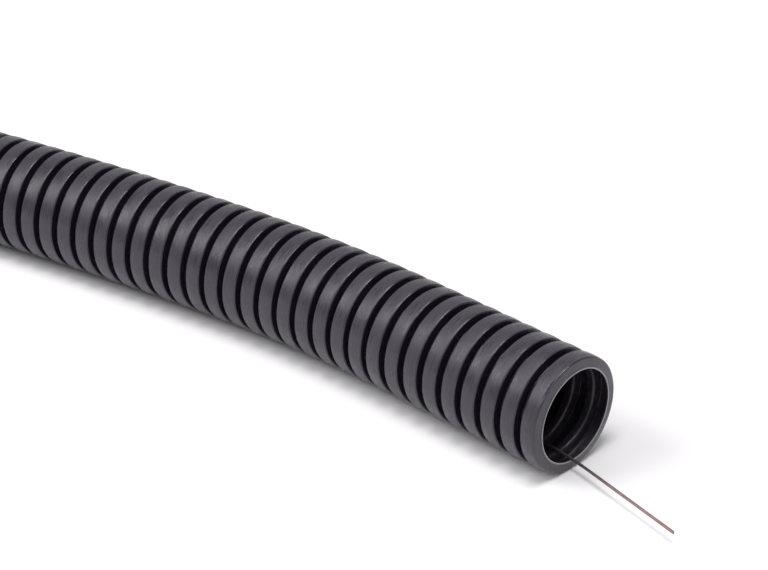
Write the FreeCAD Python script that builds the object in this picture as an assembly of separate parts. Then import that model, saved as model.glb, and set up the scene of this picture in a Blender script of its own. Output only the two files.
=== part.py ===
import FreeCAD, Part
import math
import os

V = FreeCAD.Vector

# Driving sizes of the conduit, in millimetres
STOCK_LENGTH = 1000.0
PITCH = 6.6667
OUTSIDE_DIA = 32.0
BORE_DIA = 25.6
WALL = 0.6
GROOVE_WIDTH = 2.3
GROOVE_FLOOR = 1.5
CREST_BEVEL = 0.45
RIDGE_BEVEL = 0.3
END_LIP = 0.1

# Driving sizes of the line that it lies in: a straight end, a bend, the long arc, a bend, a straight end
END_STRAIGHT = 60.0
BEND_RUN = 66.7
BEND_RADIUS = 433.0
COIL_RADIUS = 1044.0

# Driving sizes of the draw wire, its lean in degrees
WIRE_DIA = 0.8
WIRE_GAP = 0.1
WIRE_FRONT = 39.2
WIRE_REAR = 30.0
WIRE_LEAN = 11.7
WIRE_LEAN_DEPTH = 4.2
WIRE_LEAN_RADIUS = 114.0

# Sizes and counts that follow
CREST_R = OUTSIDE_DIA / 2
BORE_R = BORE_DIA / 2
TROUGH_R = BORE_R + WALL
END_CUT = GROOVE_FLOOR / 2 - END_LIP
RINGS = round((STOCK_LENGTH + 2 * END_CUT) / PITCH)
END_RINGS = round(END_STRAIGHT / PITCH)
BEND_JOINTS = round(BEND_RUN / PITCH)
COIL_JOINTS = RINGS + 1 - 2 * (END_RINGS + BEND_JOINTS)
BEND_STEP = 2 * math.degrees(math.atan(PITCH / 2 / BEND_RADIUS))
COIL_STEP = 2 * math.degrees(math.atan(PITCH / 2 / COIL_RADIUS))
NEAR = 0.001


def heading_vector(degrees):
    return V(math.cos(math.radians(degrees)), math.sin(math.radians(degrees)), 0)


# One pitch of the wave as points in the ring's XZ plane, its trough floors run on past both joints
def wave(inset, crest_bevel, ridge_bevel):
    slope = (GROOVE_WIDTH - GROOVE_FLOOR) / 2 / (CREST_R - TROUGH_R)
    shift = inset * (math.hypot(1, slope) - slope)
    foot = GROOVE_FLOOR / 2 + shift
    lip = GROOVE_WIDTH / 2 + shift
    low = TROUGH_R - inset
    high = CREST_R - inset
    corners = [
        (V(-PITCH / 2, 0, low), 0.0),
        (V(foot, 0, low), ridge_bevel),
        (V(lip, 0, high), crest_bevel),
        (V(PITCH - lip, 0, high), crest_bevel),
        (V(PITCH - foot, 0, low), ridge_bevel),
        (V(PITCH * 1.5, 0, low), 0.0),
    ]
    points = []
    for i, (corner, bevel) in enumerate(corners):
        if bevel == 0.0:
            points.append(corner)
            continue
        for other, _ in (corners[i - 1], corners[i + 1]):
            points.append(corner + (other - corner).normalize() * bevel)
    return points


# The wall of one ring, turned about its own axis
def ring_wall():
    outer = wave(0.0, CREST_BEVEL, 0.0)
    inner = wave(WALL, 0.0, RIDGE_BEVEL)
    section = outer + inner[::-1] + outer[:1]
    face = Part.Face(Part.makePolygon(section))
    return face.revolve(V(0, 0, 0), V(1, 0, 0), 360)


# A ring from start to end, on the mitre planes that it shares with its neighbours
def mitred_ring(wall, start, end, turn_in, turn_out):
    wide = OUTSIDE_DIA
    lean_in = wide * math.tan(math.radians(turn_in / 2))
    lean_out = wide * math.tan(math.radians(turn_out / 2))
    plan = [
        V(start - lean_in, -wide, -wide),
        V(end + lean_out, -wide, -wide),
        V(end - lean_out, wide, -wide),
        V(start + lean_in, wide, -wide),
    ]
    keep = Part.Face(Part.makePolygon(plan + plan[:1])).extrude(V(0, 0, 2 * wide))
    return wall.common(keep)


# How far the line turns at each joint, from the front mouth to the rear mouth
def joint_turns():
    front = [0.0] * END_RINGS + [BEND_STEP] * BEND_JOINTS
    return front + [COIL_STEP] * COIL_JOINTS + front[::-1]


# The conduit: the faces of all rings and both cut ends sewn into one skin, the front mouth at X 0
def make_conduit():
    wall = ring_wall()
    turns = joint_turns()
    kinds = {}
    faces = []
    at = V(END_CUT, 0, CREST_R)
    heading = 180.0
    for i in range(RINGS):
        start = END_CUT if i == 0 else 0.0
        end = PITCH - END_CUT if i == RINGS - 1 else PITCH
        kind = (start, end, turns[i], turns[i + 1])
        if kind not in kinds:
            kinds[kind] = mitred_ring(wall, *kind)
        ahead = heading_vector(heading)
        ring = kinds[kind].copy()
        ring.Placement = FreeCAD.Placement(at, FreeCAD.Rotation(V(0, 0, 1), heading))
        for face in ring.Faces:
            run = (face.CenterOfMass - at).dot(ahead)
            flat = isinstance(face.Surface, Part.Plane)
            joint_in = flat and abs(run) < NEAR and i > 0
            joint_out = flat and abs(run - PITCH) < NEAR and i < RINGS - 1
            if not (joint_in or joint_out):
                faces.append(face)
        at = at + ahead * PITCH
        heading += turns[i + 1]
    skin = Part.makeCompound(faces)
    skin.sewShape()
    solid = Part.makeSolid(skin.Shells[0])
    if solid.Volume < 0:
        solid.reverse()
    return solid


# A line of straight runs (length, 0) and tangent arcs (radius, degrees) in one level plane
def level_line(at, heading, runs):
    edges = []
    for size, turn in runs:
        ahead = heading_vector(heading)
        if turn == 0.0:
            end = at + ahead * size
            edges.append(Part.LineSegment(at, end).toShape())
        else:
            centre = at + heading_vector(heading + 90) * size
            mid = centre - heading_vector(heading + 90 + turn / 2) * size
            end = centre - heading_vector(heading + 90 + turn) * size
            edges.append(Part.Arc(at, mid, end).toShape())
            heading += turn
        at = end
    return Part.Wire(edges)


# The draw wire: on the lowest ridges of the bore, out of both mouths
def make_draw_wire():
    height = CREST_R - BORE_R + WIRE_GAP + WIRE_DIA / 2
    lean = math.radians(WIRE_LEAN)
    lean_tangent = WIRE_LEAN_RADIUS * math.tan(lean / 2)
    reach = WIRE_FRONT + WIRE_LEAN_DEPTH
    end_run = (END_RINGS - 0.5) * PITCH - END_CUT
    bend = (BEND_RADIUS, BEND_JOINTS * BEND_STEP)
    tip = V(WIRE_FRONT, -reach * math.tan(lean), height)
    spine = level_line(tip, 180.0 - WIRE_LEAN, [
        (reach / math.cos(lean) - lean_tangent, 0.0),
        (WIRE_LEAN_RADIUS, WIRE_LEAN),
        (end_run - WIRE_LEAN_DEPTH - lean_tangent, 0.0),
        bend,
        (COIL_RADIUS, COIL_JOINTS * COIL_STEP),
        bend,
        (end_run + WIRE_REAR, 0.0),
    ])
    end = Part.Circle(tip, heading_vector(-WIRE_LEAN), WIRE_DIA / 2)
    return spine.makePipeShell([Part.Wire(end.toShape())], True, False)


conduit = make_conduit()
draw_wire = make_draw_wire()

# Both are set on the floor, with the middle of their box over the origin
box = conduit.optimalBoundingBox()
box.add(draw_wire.optimalBoundingBox())
shift = V(-(box.XMin + box.XMax) / 2, -(box.YMin + box.YMax) / 2, 0)

os.makedirs("parts", exist_ok=True)
for name, solid in (("conduit", conduit), ("draw_wire", draw_wire)):
    solid.translate(shift)
    solid.exportStep("parts/" + name + ".step")
    print(name, solid.isValid(), round(solid.Volume, 1), len(solid.Faces))
print("front mouth at", round(shift.x, 3), round(shift.y, 3))
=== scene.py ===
import math

import bpy
import numpy as np
from mathutils import Matrix, Vector


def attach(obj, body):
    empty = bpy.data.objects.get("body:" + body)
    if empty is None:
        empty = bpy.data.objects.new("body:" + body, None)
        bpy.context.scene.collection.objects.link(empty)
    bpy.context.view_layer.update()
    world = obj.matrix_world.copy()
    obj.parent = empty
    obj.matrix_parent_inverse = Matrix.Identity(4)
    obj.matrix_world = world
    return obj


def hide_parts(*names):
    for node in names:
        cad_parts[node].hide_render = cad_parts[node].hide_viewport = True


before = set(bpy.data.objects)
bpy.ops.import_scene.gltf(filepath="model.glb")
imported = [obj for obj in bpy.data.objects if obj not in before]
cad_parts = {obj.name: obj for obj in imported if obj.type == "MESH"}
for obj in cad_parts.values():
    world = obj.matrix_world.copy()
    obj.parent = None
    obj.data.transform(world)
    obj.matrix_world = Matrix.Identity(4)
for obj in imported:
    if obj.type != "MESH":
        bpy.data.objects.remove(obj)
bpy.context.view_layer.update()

MM = 0.001

# Sizes of the conduit, as in the part's source, in millimetres
PITCH = 6.6667
CREST_R = 16.0
BORE_R = 12.8
WALL = 0.6
TROUGH_R = BORE_R + WALL
GROOVE_WIDTH = 2.3
GROOVE_FLOOR = 1.5
END_LIP = 0.1
END_CUT = GROOVE_FLOOR / 2 - END_LIP

# The line that it lies in, as in the part's source
RINGS = 150
END_RINGS = 9
BEND_JOINTS = 10
COIL_JOINTS = RINGS + 1 - 2 * (END_RINGS + BEND_JOINTS)
BEND_RADIUS = 433.0
COIL_RADIUS = 1044.0
BEND_STEP = 2 * math.degrees(math.atan(PITCH / 2 / BEND_RADIUS))
COIL_STEP = 2 * math.degrees(math.atan(PITCH / 2 / COIL_RADIUS))

# The front mouth's middle in the frame, as the part's source prints it, and the heading into it in degrees
MOUTH = np.array([403.991, 240.104, CREST_R])
INTO_MOUTH = 180.0

# Sizes of the draw wire, as in the part's source
WIRE_R = 0.4
WIRE_GAP = 0.1
WIRE_FRONT = 39.2
WIRE_REAR = 30.0
WIRE_LEAN = 11.7
WIRE_LEAN_DEPTH = 4.2
WIRE_LEAN_RADIUS = 114.0

# Small roundings that the part's source leaves as bevels or sharp edges
FRONT_CREST_ROUND = 0.5
REAR_CREST_ROUND = 0.4
TROUGH_ROUND = 0.3
RIDGE_ROUND = 0.8
RECESS_ROUND = 0.3
RIM_ROUND = 0.1
LIP_ROUND = 0.04

# The crests aren't flat: each falls away a little to both sides, given as run and drop
FRONT_CROWN = (1.6, 0.17)
REAR_CROWN = (1.2, 0.07)
CROWN_ROUND = 18.0
CROWN_POINTS = 2

# Cut ends: length of the cut face next to its edge and room for the edge, both in roundings of the edge
CUT_FACE = 2.0
CUT_ROOM = 1.5
CUT_POINTS = 3

# Detail of the mesh: rings in the photograph or at the rear are finer, and the bore is finest at a mouth
FINE_RINGS = 31
FINE_REAR = 4
FINE_BORE = 6
FINE_SIDES = 56
PLAIN_SIDES = 28
DEEP_SIDES = 14

# Which way a side of the wall faces
OUTWARD = 1.0
INWARD = -1.0

# Mesh of the wire: sides, fewest steps in an arc, slope of the cut at the front tip, sharp edge in degrees
WIRE_SIDES = 20
WIRE_ARC_STEPS = 6
WIRE_SNIP = 0.7
WIRE_SHARP = 35.0

# How much painted highlight the cut rim gets and how much painted light the outermost flank gets
RIM_PAINTED_HIGHLIGHT = 1.0
FLANK_PAINTED_LIGHT = 0.045

# How open the bore reads, from 0 as in a groove to 1 as on a crest, which sets its painted shade
BORE_SHADE = 0.85

# A crest's rounded edges are the points above this share of its height whose normal tilts more than this
EDGE_FROM = 0.8
EDGE_TILT = 0.17

# The short dark crease on the front ring, a dent darkened with painted shade, in millimetres from its first
# joint and in degrees from the top
MARK_RUN = 1.62
MARK_HALF_WIDTH = 0.24
MARK_MIDDLE = 39.0
MARK_HALF_LENGTH = 14.0

# The share of the crease's half width and half length that is fully dark
MARK_CORE = 0.3

# Values that noise mostly fills, and that two noises added together mostly fill
NOISE_SPAN = (0.3, 0.7)
SUM_SPAN = (0.8, 1.2)

# Values of openness between which a groove turns into a crest and the painted shade fades out
OPEN_SPAN = (0.80, 0.91)

# The plastic's colours, with the painted shade of grooves, bore and crease and the painted light of the cut
# rim and outermost flank
PLASTIC_DARK = (0.031, 0.027, 0.038, 1)
PLASTIC_PALE = (0.043, 0.038, 0.050, 1)
PAINTED_SHADE_TONE = (0.011, 0.008, 0.016, 1)
PAINTED_LIGHT_TONE = (0.30, 0.29, 0.31, 1)

# Noise on the plastic: features to the metre across and along the straight tube, and how fine it is
STREAK_STRETCH = (110, 110, 3000)
STREAK_DETAIL = 6.0
STREAK_ROUGHNESS = 0.72
SMUDGE_STRETCH = (170, 170, 300)
SMUDGE_DETAIL = 2.0

# The plastic's gloss: roughness, the factor on it in a groove and on a crest, and that of a crest's edges
PLASTIC_ROUGHNESS = (0.22, 0.46)
GROOVE_FACTOR = (0.6, 1.0)
EDGE_ROUGHNESS = 0.11
PLASTIC_IOR = 1.43

# Depths of the plastic's relief in metres
SMUDGE_DEPTH = 0.00009
STREAK_DEPTH = 0.00011
MARK_DEPTH = 0.0002

# The wire's steel, whose tone turns to a painted shade between this run from the tip and the mouth, for the
# shade and dark reflection there and in the bore
WIRE_SHADE_FROM = 10.0
WIRE_SHADE_TONE = (0.19, 0.14, 0.14, 1)
WIRE_DARK = (0.20, 0.125, 0.12, 1)
WIRE_PALE = (0.32, 0.215, 0.21, 1)
WIRE_STRETCH = (400, 1500, 4000)
WIRE_DETAIL = 3.0
WIRE_ROUGHNESS = (0.32, 0.46)
WIRE_METALLIC = 0.8

# Floor, with half its side in metres
FLOOR_HALF = 4
FLOOR_TONE = (0.85, 0.836, 0.859, 1)
FLOOR_ROUGHNESS = 0.8

# Lights: name, direction from the mouth, distance, width, height, brightness, shows in matt, shows in gloss
LIGHTS = [
    ("top_softbox", (0.12, -0.20, 0.97), 2.2, 0.85, 0.85, 13.0, True, True),
    ("side_softbox", (-0.48, -0.57, 0.66), 2.5, 1.3, 1.4, 6.8, True, True),
    ("back_panel", (-0.53, 0.77, 0.36), 2.1, 3.2, 1.4, 0.55, True, True),
    ("front_card", (0.90, -0.15, 0.40), 2.0, 1.8, 1.0, 1.2, True, True),
    ("floor_fill", (0.0, 0.0, 1.0), 3.0, 4.0, 4.0, 0.45, True, False),
    ("edge_glint", (0.22, 0.20, 0.956), 2.2, 0.5, 0.5, 34.0, False, True),
]
SKY_TONE = (1, 1, 1, 1)
SKY_STRENGTH = 0.2

# The photograph's camera, from a fit of the conduit's outline, rim, wire and grooves
IMAGE_WIDTH = 768
SENSOR = 36.0
FOCAL_PX = 2477.9
CAMERA_DOWN = math.radians(29.522)
CAMERA_TURN = math.radians(43.639)
CAMERA_FROM_MOUTH = np.array([328.17, -414.09, 335.84])


def heading_vector(degrees):
    """Level unit vector along a heading."""
    return np.array([math.cos(math.radians(degrees)), math.sin(math.radians(degrees)), 0.0])


def joints():
    """Place, heading and turn of each ring's first joint, from the front mouth."""
    front = [0.0] * END_RINGS + [BEND_STEP] * BEND_JOINTS
    turns = front + [COIL_STEP] * COIL_JOINTS + front[::-1]
    at = MOUTH - END_CUT * heading_vector(INTO_MOUTH)
    heading = INTO_MOUTH
    out = []
    for turn, next_turn in zip(turns, turns[1:]):
        out.append((at, heading, turn))
        at = at + PITCH * heading_vector(heading)
        heading += next_turn
    return out


def rounded(corners):
    """Points (run, radius, normal) of a line; corners are (run, radius, rounding, points)."""
    spots = [np.array(c[:2], float) for c in corners]
    out = []
    for i, (_, _, rad, count) in enumerate(corners):
        here = spots[i]
        back = spots[i - 1] - here if i > 0 else here - spots[1]
        on = spots[i + 1] - here if i < len(corners) - 1 else here - spots[-2]
        back = back / np.linalg.norm(back)
        on = on / np.linalg.norm(on)
        first_normal = np.array([back[1], -back[0]])
        last_normal = np.array([-on[1], on[0]])
        if rad == 0.0 or count < 2:
            mean = first_normal + last_normal
            out.append((*here, *(mean / np.linalg.norm(mean))))
            continue
        half = math.acos(float(np.clip(back @ on, -1, 1))) / 2
        mid = (back + on) / np.linalg.norm(back + on)
        centre = here + mid * rad / math.sin(half)
        sweep = math.pi - 2 * half
        first = here + back * rad / math.tan(half) - centre
        last = here + on * rad / math.tan(half) - centre
        sign = 1.0 if first @ first_normal > 0 else -1.0
        for k in range(count):
            t = k / (count - 1)
            spoke = (math.sin((1 - t) * sweep) * first + math.sin(t * sweep) * last) / math.sin(sweep)
            normal = sign * spoke / np.linalg.norm(spoke)
            out.append((*(centre + spoke), *normal))
    return out


def wave(inset, low_round, high_rounds, low_points, high_points, cut=False):
    """One pitch of the wall's outer (inset 0) or inner (inset WALL) line, whole or cut at its first foot."""
    outer = inset == 0.0
    front_round, rear_round = high_rounds

    # The inner line's flanks stand off so far that the wall keeps its thickness
    slope = (GROOVE_WIDTH - GROOVE_FLOOR) / 2 / (CREST_R - TROUGH_R)
    shift = inset * (math.hypot(1, slope) - slope)
    foot = GROOVE_FLOOR / 2 + shift
    lip = GROOVE_WIDTH / 2 + shift
    low = TROUGH_R - inset
    high = CREST_R - inset
    if cut:
        edge = LIP_ROUND if outer else RIM_ROUND
        into_wall = -CUT_FACE * edge if outer else CUT_FACE * edge
        first = [
            (END_CUT, low + into_wall, 0.0, 1),
            (END_CUT, low, edge, CUT_POINTS),
            (foot, low, min(low_round, foot - END_CUT - CUT_ROOM * edge), low_points),
        ]
    else:
        first = [
            (0, low, 0.0, 1),
            (foot, low, low_round, low_points),
        ]
    if outer:
        front_run, front_drop = FRONT_CROWN
        rear_run, rear_drop = REAR_CROWN
        crest = [
            (lip, high - front_drop, front_round, high_points),
            (lip + front_run, high, CROWN_ROUND, CROWN_POINTS),
            (PITCH - lip - rear_run, high, CROWN_ROUND, CROWN_POINTS),
            (PITCH - lip, high - rear_drop, rear_round, high_points),
        ]
    else:
        crest = [
            (lip, high, front_round, high_points),
            (PITCH - lip, high, rear_round, high_points),
        ]
    last = [
        (PITCH - foot, low, low_round, low_points),
        (PITCH, low, 0.0, 1),
    ]
    return rounded(first + crest + last)


def mirrored(profile):
    """The same pitch seen from its other end."""
    return [(PITCH - run, radius, -n_run, n_radius) for run, radius, n_run, n_radius in profile[::-1]]


class Shell:
    """Collects the wall's circles of vertices with their normals, fields and faces."""

    def __init__(self):
        self.points = []
        self.normals = []
        self.pipe = []
        self.open = []
        self.rim = []
        self.edge = []
        self.faces = []
        self.total = 0

    def circle(self, place, step, mitre, travelled, count, facing, at_end):
        """Adds a circle at one step of a ring's profile; returns its first vertex and its count."""
        at, heading = place
        run, radius, n_run, n_radius = step
        along = heading_vector(heading)
        side = heading_vector(heading + 90)
        turn = np.arange(count) * 2 * math.pi / count
        spoke = np.outer(np.sin(turn), side) - np.outer(np.cos(turn), [0, 0, 1])
        ahead = run + radius * np.sin(turn) * mitre
        self.points.append((at + np.outer(ahead, along) + radius * spoke) * MM)
        self.normals.append(facing * (n_run * along + n_radius * spoke))

        # Place on the straight tube, and the fields of the material
        flat = np.column_stack([np.sin(turn), -np.cos(turn)]) * radius
        self.pipe.append(np.column_stack([flat, np.full(count, travelled + run)]) * MM)
        height = (radius - TROUGH_R) / (CREST_R - TROUGH_R)
        outside = facing == OUTWARD
        # Openness sets the painted shade: darker low in each groove, and a fixed share of it in the bore
        openness = max(0.0, height) if outside else BORE_SHADE
        # Painted light on the outermost flank and painted highlight along the cut rim, at the ends only
        painted_light = FLANK_PAINTED_LIGHT if outside else RIM_PAINTED_HIGHLIGHT
        on_edge = outside and height > EDGE_FROM and abs(n_run) > EDGE_TILT
        self.open.append(np.full(count, 1.0 if at_end else openness))
        self.rim.append(np.full(count, painted_light if at_end else 0.0))
        self.edge.append(np.full(count, 1.0 if on_edge else 0.0))
        first = self.total
        self.total += count
        return first, count

    def face(self, corners, flip):
        self.faces.append(corners[::-1] if flip else corners)

    def bridge(self, one, two, flip):
        """Faces between two circles with the same number of points, or one with twice the other's."""
        (a, m), (b, n) = one, two
        if m < n:
            one, two, flip = two, one, not flip
            (a, m), (b, n) = one, two
        if m == n:
            for j in range(m):
                k = (j + 1) % m
                self.face((a + j, a + k, b + k, b + j), flip)
            return
        for j in range(n):
            k = (j + 1) % n
            c0, c1, c2 = a + 2 * j, a + 2 * j + 1, a + (2 * j + 2) % m
            self.face((c0, c1, b + j), flip)
            self.face((c1, b + k, b + j), flip)
            self.face((c1, c2, b + k), flip)

    def lay(self, profile_of, count_of, facing):
        """Lays one side of the wall over all rings; returns its first and last circle."""
        end_reach = GROOVE_WIDTH / 2 if facing == OUTWARD else END_CUT + RIM_ROUND
        made = []
        for i, (at, heading, turn) in enumerate(joints()):
            steps = profile_of(i)
            if i < RINGS - 1:
                steps = steps[:-1]
            for k, step in enumerate(steps):
                mitre = math.tan(math.radians(turn / 2)) if k == 0 else 0.0
                at_front = i == 0 and step[0] < end_reach
                at_rear = i == RINGS - 1 and step[0] > PITCH - end_reach
                made.append(self.circle(
                    (at, heading), step, mitre, i * PITCH, count_of(i), facing, at_front or at_rear))
        for one, two in zip(made, made[1:]):
            self.bridge(one, two, facing == INWARD)
        return made[0], made[-1]


def new_object(name, points, faces, smooth=True):
    mesh = bpy.data.meshes.new(name)
    mesh.from_pydata([tuple(p) for p in points], [], [tuple(f) for f in faces])
    mesh.validate()
    if smooth:
        mesh.shade_smooth()
    obj = bpy.data.objects.new(name, mesh)
    bpy.context.scene.collection.objects.link(obj)
    return obj


def add_field(obj, name, values):
    """Gives each vertex a number that a material can read."""
    field = obj.data.attributes.new(name, "FLOAT", "POINT")
    field.data.foreach_set("value", np.asarray(values, np.float32))


def make_conduit():
    crest = (FRONT_CREST_ROUND, REAR_CREST_ROUND)
    recess = (RECESS_ROUND, RECESS_ROUND)
    sharp = (0.0, 0.0)
    outer_fine = wave(0.0, TROUGH_ROUND, crest, low_points=2, high_points=5)
    outer_plain = wave(0.0, 0.0, crest, low_points=1, high_points=2)
    outer_cut = wave(0.0, TROUGH_ROUND, crest, low_points=3, high_points=6, cut=True)
    inner_fine = wave(WALL, RIDGE_ROUND, recess, low_points=5, high_points=2)
    inner_middle = wave(WALL, RIDGE_ROUND, sharp, low_points=2, high_points=1)
    inner_plain = wave(WALL, 0.0, sharp, low_points=1, high_points=1)
    inner_cut = wave(WALL, RIDGE_ROUND, recess, low_points=5, high_points=2, cut=True)

    def fine(i):
        return i < FINE_RINGS or i >= RINGS - FINE_REAR

    def mouth(i):
        return i < FINE_BORE or i >= RINGS - FINE_REAR

    def outer(i):
        if i == 0:
            return outer_cut
        if i == RINGS - 1:
            return mirrored(outer_cut)
        return outer_fine if fine(i) else outer_plain

    def inner(i):
        if i == 0:
            return inner_cut
        if i == RINGS - 1:
            return mirrored(inner_cut)
        if mouth(i):
            return inner_fine
        return inner_middle if fine(i) else inner_plain

    def outer_count(i):
        return FINE_SIDES if fine(i) else PLAIN_SIDES

    def inner_count(i):
        if mouth(i):
            return FINE_SIDES
        return PLAIN_SIDES if fine(i) else DEEP_SIDES

    shell = Shell()
    front_out, rear_out = shell.lay(outer, outer_count, OUTWARD)
    front_in, rear_in = shell.lay(inner, inner_count, INWARD)
    shell.bridge(front_out, front_in, True)
    shell.bridge(rear_out, rear_in, False)
    obj = new_object("conduit_wave", np.vstack(shell.points), shell.faces)
    pipe = obj.data.attributes.new("pipe", "FLOAT_VECTOR", "POINT")
    pipe.data.foreach_set("vector", np.vstack(shell.pipe).astype(np.float32).ravel())
    add_field(obj, "open", np.concatenate(shell.open))
    add_field(obj, "rim", np.concatenate(shell.rim))
    add_field(obj, "edge", np.concatenate(shell.edge))
    obj.data.normals_split_custom_set_from_vertices([tuple(n) for n in np.vstack(shell.normals)])
    return obj


def wire_line():
    """Points and headings of the draw wire's middle line, from its front tip."""
    lean = math.radians(WIRE_LEAN)
    tangent = WIRE_LEAN_RADIUS * math.tan(lean / 2)
    reach = WIRE_FRONT + WIRE_LEAN_DEPTH
    bend = (BEND_RADIUS, BEND_JOINTS * BEND_STEP)

    # The arcs touch the rings' middles, so a straight end stops half a pitch before its last joint
    end_run = (END_RINGS - 0.5) * PITCH - END_CUT

    # A stretch is a length and no turn, or a radius and its turn in degrees
    stretches = [
        (reach / math.cos(lean) - tangent, 0.0),
        (WIRE_LEAN_RADIUS, WIRE_LEAN),
        (end_run - WIRE_LEAN_DEPTH - tangent, 0.0),
        bend,
        (COIL_RADIUS, COIL_JOINTS * COIL_STEP),
        bend,
        (end_run + WIRE_REAR, 0.0),
    ]
    height = CREST_R - BORE_R + WIRE_GAP + WIRE_R
    at = np.array([MOUTH[0] + WIRE_FRONT, MOUTH[1] - reach * math.tan(lean), height])
    heading = INTO_MOUTH - WIRE_LEAN
    line = [(at, heading)]
    for size, turn in stretches:
        if turn == 0.0:
            at = at + heading_vector(heading) * size
            line.append((at, heading))
            continue
        centre = at + heading_vector(heading + 90) * size
        steps = max(WIRE_ARC_STEPS, round(turn))
        for k in range(1, steps + 1):
            now = heading + turn * k / steps
            line.append((centre - heading_vector(now + 90) * size, now))
        heading += turn
        at = line[-1][0]
    return line


def make_wire():
    line = wire_line()
    points = []
    faces = []
    runs = []
    gone = 0.0
    for i, (at, heading) in enumerate(line):
        gone += float(np.linalg.norm(at - line[max(i - 1, 0)][0])) * MM
        runs += [gone] * WIRE_SIDES
        for j in range(WIRE_SIDES):
            turn = 2 * math.pi * j / WIRE_SIDES
            side = heading_vector(heading + 90) * math.cos(turn)
            spot = at + WIRE_R * (side + np.array([0, 0, math.sin(turn)]))
            if i == 0:
                spot = spot + heading_vector(heading) * WIRE_SNIP * WIRE_R * (1 - math.cos(turn))
            points.append(spot * MM)
    for i in range(len(line) - 1):
        for j in range(WIRE_SIDES):
            k = (j + 1) % WIRE_SIDES
            a, b = i * WIRE_SIDES, (i + 1) * WIRE_SIDES
            faces.append((a + j, b + j, b + k, a + k))
    last = (len(line) - 1) * WIRE_SIDES
    faces.append(tuple(range(WIRE_SIDES)))
    faces.append(tuple(range(last + WIRE_SIDES - 1, last - 1, -1)))
    obj = new_object("draw_wire_steel", points, faces)
    add_field(obj, "run", runs)
    obj.data.set_sharp_from_angle(angle=math.radians(WIRE_SHARP))
    return obj


class Nodes:
    """A short way to write a material's nodes; an input takes a value or another node's output."""

    def __init__(self, name):
        self.material = bpy.data.materials.new(name)
        self.material.use_nodes = True
        self.tree = self.material.node_tree
        self.shader = self.tree.nodes["Principled BSDF"]

    def feed(self, socket, value):
        if isinstance(value, bpy.types.NodeSocket):
            self.tree.links.new(value, socket)
        else:
            socket.default_value = value

    def shade(self, name, value):
        self.feed(self.shader.inputs[name], value)

    def add(self, kind, inputs=None, **settings):
        node = self.tree.nodes.new(kind)
        for key, value in settings.items():
            setattr(node, key, value)
        for key, value in (inputs or {}).items():
            self.feed(node.inputs[key], value)
        return node

    def field(self, name, output="Fac"):
        return self.add("ShaderNodeAttribute", attribute_name=name).outputs[output]

    def calc(self, operation, *values):
        return self.add("ShaderNodeMath", dict(enumerate(values)), operation=operation).outputs[0]

    def noise(self, place, stretch, detail, roughness=0.5):
        """Noise with about this many features to the metre along each axis."""
        stretched = self.add("ShaderNodeVectorMath", {0: place, 1: stretch}, operation="MULTIPLY")
        node = self.add("ShaderNodeTexNoise", {
            "Vector": stretched.outputs["Vector"], "Scale": 1.0, "Detail": detail, "Roughness": roughness})
        return node.outputs["Fac"]

    def ramp(self, value, to=(0.0, 1.0), span=NOISE_SPAN):
        """The value mapped from its span to the range to."""
        node = self.add("ShaderNodeMapRange", {
            "Value": value, "From Min": span[0], "From Max": span[1],
            "To Min": to[0], "To Max": to[1]})
        return node.outputs["Result"]

    def mix_colours(self, factor, one, two):
        node = self.add("ShaderNodeMix", data_type="RGBA")
        self.feed(node.inputs["Factor"], factor)
        self.feed(node.inputs["A"], one)
        self.feed(node.inputs["B"], two)
        return node.outputs["Result"]

    def mix_values(self, factor, one, two):
        return self.add("ShaderNodeMix", {0: factor, 2: one, 3: two}).outputs[0]

    def bump(self, height, depth, normal=None, invert=False):
        """The normal with this relief laid over it."""
        inputs = {"Height": height, "Strength": 1.0, "Distance": depth}
        if normal is not None:
            inputs["Normal"] = normal
        return self.add("ShaderNodeBump", inputs, invert=invert).outputs["Normal"]


def crease_and_shade_mask(nodes, pipe):
    """From 0 to 1 over the short dark crease on the front ring, for its dent and its painted shade."""
    place = nodes.add("ShaderNodeSeparateXYZ", {"Vector": pipe}).outputs
    turn = nodes.calc("ARCTAN2", place["X"], place["Y"])
    along = (place["Z"], MARK_RUN * MM, MARK_HALF_WIDTH * MM)
    around = (turn, math.radians(MARK_MIDDLE), math.radians(MARK_HALF_LENGTH))
    shares = []
    for value, middle, reach in (along, around):
        off = nodes.calc("ABSOLUTE", nodes.calc("SUBTRACT", value, middle))
        shares.append(nodes.ramp(off, (1.0, 0.0), (MARK_CORE * reach, reach)))
    return nodes.calc("MULTIPLY", *shares)


def conduit_material():
    nodes = Nodes("charcoal_plastic")
    pipe = nodes.field("pipe", "Vector")
    streaks = nodes.noise(pipe, STREAK_STRETCH, STREAK_DETAIL, STREAK_ROUGHNESS)
    smudges = nodes.noise(pipe, SMUDGE_STRETCH, SMUDGE_DETAIL)
    openness = nodes.field("open")
    crease_and_shade = crease_and_shade_mask(nodes, pipe)

    tone = nodes.mix_colours(nodes.ramp(streaks), PLASTIC_DARK, PLASTIC_PALE)
    # Painted shade in the grooves and the bore, by openness
    tone = nodes.mix_colours(nodes.ramp(openness, span=OPEN_SPAN), PAINTED_SHADE_TONE, tone)
    # Painted highlight along the cut rim and painted light on the outermost flank
    tone = nodes.mix_colours(nodes.field("rim"), tone, PAINTED_LIGHT_TONE)
    # Painted shade in the short crease on the front ring
    tone = nodes.mix_colours(crease_and_shade, tone, PAINTED_SHADE_TONE)
    nodes.shade("Base Color", tone)

    rough = nodes.ramp(nodes.calc("ADD", streaks, smudges), PLASTIC_ROUGHNESS, SUM_SPAN)
    rough = nodes.calc("MULTIPLY", rough, nodes.ramp(openness, GROOVE_FACTOR, OPEN_SPAN))
    rough = nodes.mix_values(nodes.field("edge"), rough, EDGE_ROUGHNESS)
    nodes.shade("Roughness", rough)

    normal = nodes.bump(smudges, SMUDGE_DEPTH)
    normal = nodes.bump(streaks, STREAK_DEPTH, normal)
    normal = nodes.bump(crease_and_shade, MARK_DEPTH, normal, invert=True)
    nodes.shade("Normal", normal)
    nodes.shade("IOR", PLASTIC_IOR)
    return nodes.material


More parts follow.
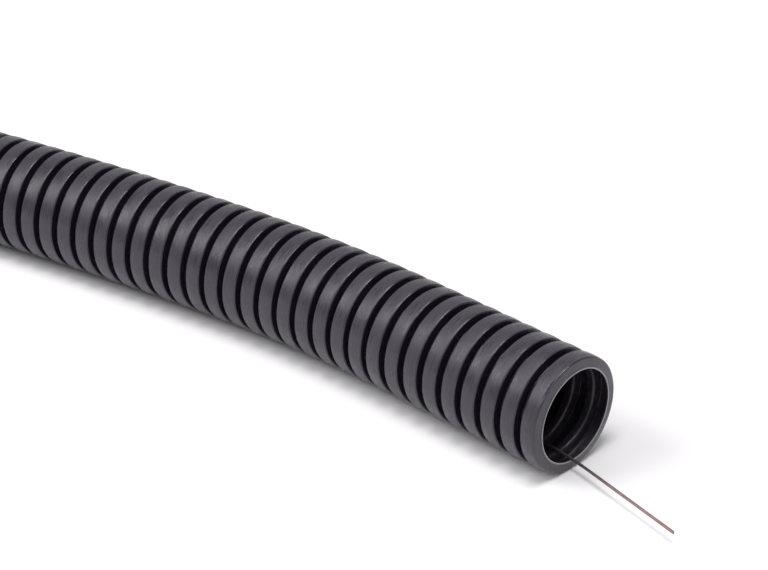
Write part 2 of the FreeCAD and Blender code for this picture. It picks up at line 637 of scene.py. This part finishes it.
def wire_material():
    nodes = Nodes("copper_brown_steel")
    where = nodes.add("ShaderNodeNewGeometry").outputs["Position"]
    grain = nodes.noise(where, WIRE_STRETCH, WIRE_DETAIL)
    tone = nodes.mix_colours(nodes.ramp(grain), WIRE_DARK, WIRE_PALE)
    # Painted shade and dark reflection on the wire, from near the mouth into the bore
    inner = nodes.ramp(nodes.field("run"), span=(WIRE_SHADE_FROM * MM, WIRE_FRONT * MM))
    tone = nodes.mix_colours(inner, tone, WIRE_SHADE_TONE)
    nodes.shade("Base Color", tone)
    nodes.shade("Metallic", WIRE_METALLIC)
    nodes.shade("Roughness", nodes.ramp(grain, WIRE_ROUGHNESS))
    return nodes.material


def floor_material():
    nodes = Nodes("pale_floor")
    nodes.shade("Base Color", FLOOR_TONE)
    nodes.shade("Roughness", FLOOR_ROUGHNESS)
    return nodes.material


def dress(obj, material):
    obj.data.materials.clear()
    obj.data.materials.append(material)


def make_floor():
    corners = [(-1, -1), (1, -1), (1, 1), (-1, 1)]
    points = [(x * FLOOR_HALF, y * FLOOR_HALF, 0) for x, y in corners]
    return new_object("floor", points, [(0, 1, 2, 3)], smooth=False)


def make_sky():
    world = bpy.data.worlds.new("studio")
    world.use_nodes = True
    background = world.node_tree.nodes["Background"]
    background.inputs["Color"].default_value = SKY_TONE
    background.inputs["Strength"].default_value = SKY_STRENGTH
    bpy.context.scene.world = world


def make_light(name, direction, distance, width, height, brightness, in_matt, in_gloss):
    """A light that faces the mouth; its power gives its face the brightness whatever its size."""
    light = bpy.data.lights.new(name, "AREA")
    light.shape = "RECTANGLE"
    light.size = width
    light.size_y = height
    light.energy = math.pi * width * height * brightness
    obj = bpy.data.objects.new(name, light)
    away = Vector(direction).normalized()
    obj.location = Vector(MOUTH * MM) + away * distance
    obj.rotation_euler = (-away).to_track_quat("-Z", "Y").to_euler()
    obj.visible_camera = False
    obj.visible_diffuse = in_matt
    obj.visible_glossy = in_gloss
    bpy.context.scene.collection.objects.link(obj)


def make_camera():
    right = Vector((math.cos(CAMERA_TURN), math.sin(CAMERA_TURN), 0))
    forward = Vector((
        -math.sin(CAMERA_TURN) * math.cos(CAMERA_DOWN),
        math.cos(CAMERA_TURN) * math.cos(CAMERA_DOWN),
        -math.sin(CAMERA_DOWN)))
    up = right.cross(forward)
    data = bpy.data.cameras.new("camera")
    data.sensor_width = SENSOR
    data.lens = FOCAL_PX / IMAGE_WIDTH * SENSOR
    camera = bpy.data.objects.new("camera", data)
    turned = Matrix((right, up, -forward)).transposed()
    place = Vector((MOUTH + CAMERA_FROM_MOUTH) * MM)
    camera.matrix_world = Matrix.Translation(place) @ turned.to_4x4()
    bpy.context.scene.collection.objects.link(camera)
    bpy.context.scene.camera = camera


# The pieces
conduit = make_conduit()
dress(conduit, conduit_material())
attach(conduit, "root")
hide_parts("conduit")

wire = make_wire()
dress(wire, wire_material())
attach(wire, "root")
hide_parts("draw_wire")

# Floor, light and camera
floor = make_floor()
dress(floor, floor_material())
make_sky()
bpy.context.scene.view_settings.view_transform = "Standard"
for row in LIGHTS:
    make_light(*row)
make_camera()
